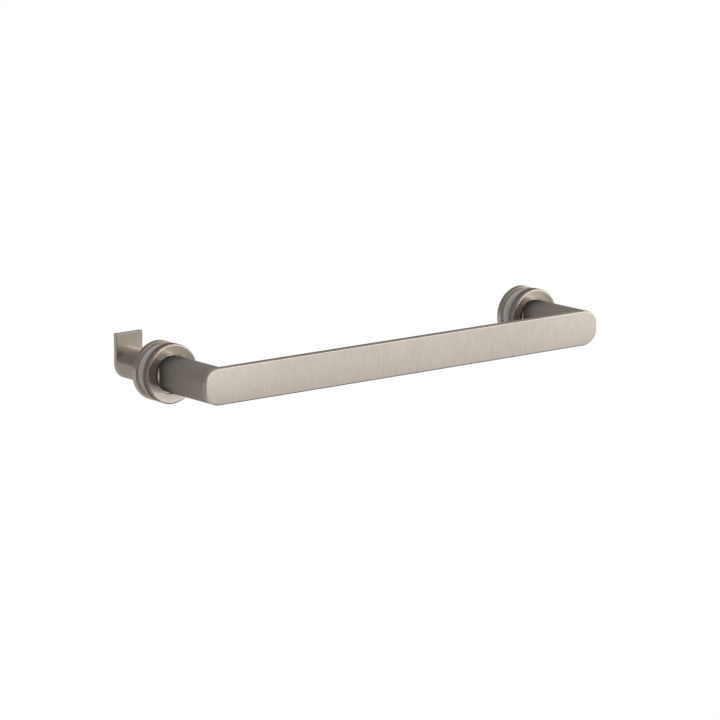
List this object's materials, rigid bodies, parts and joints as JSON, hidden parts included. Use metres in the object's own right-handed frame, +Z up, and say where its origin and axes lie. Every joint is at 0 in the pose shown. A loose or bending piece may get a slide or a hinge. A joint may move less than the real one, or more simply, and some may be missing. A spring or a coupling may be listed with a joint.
{
  "type": "shower door handle",
  "caption": "Through-glass shower door handle: a flat bar with rounded ends on round posts and rosettes outside, and a robe hook inside, clamped through holes in the glass.",
  "frame": {"origin": "on the glass's outer face, midway between the two glass holes", "axes": "+X along the bar to the right as seen from the hand side, +Y from the hand side into the glass, +Z up"},
  "size_m": [0.344, 0.101, 0.0395],
  "materials": {
    "bar_metal": "satin nickel, brushed across the bar's height",
    "post_metal": "satin nickel, brushed around the post",
    "rosette_metal": "satin nickel, turned",
    "fixing_steel": "plain steel",
    "gasket_rubber": "translucent white silicone rubber"
  },
  "bodies": {
    "root": {"front_bar": "bar_metal", "left_post": "post_metal", "right_post": "post_metal", "left_front_rosette": "rosette_metal", "right_front_rosette": "rosette_metal", "left_rear_rosette": "rosette_metal", "right_rear_rosette": "rosette_metal", "hook_stem": "post_metal", "hook_plate": "bar_metal", "right_cap_nut": "rosette_metal", "left_stud": "fixing_steel", "right_stud": "fixing_steel", "front_gaskets": "gasket_rubber", "rear_gaskets": "gasket_rubber"}
  },
  "joints": []
}
